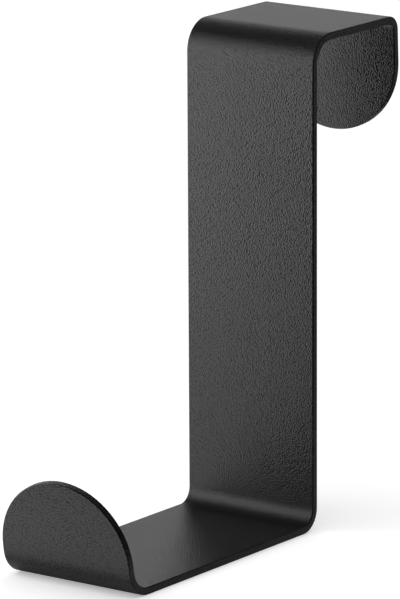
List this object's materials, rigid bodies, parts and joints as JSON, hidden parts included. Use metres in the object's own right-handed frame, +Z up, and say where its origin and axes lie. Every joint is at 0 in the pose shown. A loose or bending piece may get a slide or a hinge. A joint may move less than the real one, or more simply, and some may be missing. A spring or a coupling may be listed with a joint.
{
  "type": "over door hook",
  "caption": "Over door hook folded from flat steel strip: a half round tab hangs behind the door, and a long front strip drops to an arm with a raised half round tab.",
  "frame": {"origin": "middle of the seat, which is the underside of the top plate and rests on the top edge of the door", "axes": "X across the strip, +Y from the front of the door to its back, +Z up"},
  "size_m": [0.03, 0.0921, 0.098],
  "materials": {
    "powder_coat": "black powder coat with a fine leather-like grain, satin to matte"
  },
  "bodies": {
    "root": {"hook_strip": "powder_coat"}
  },
  "joints": []
}
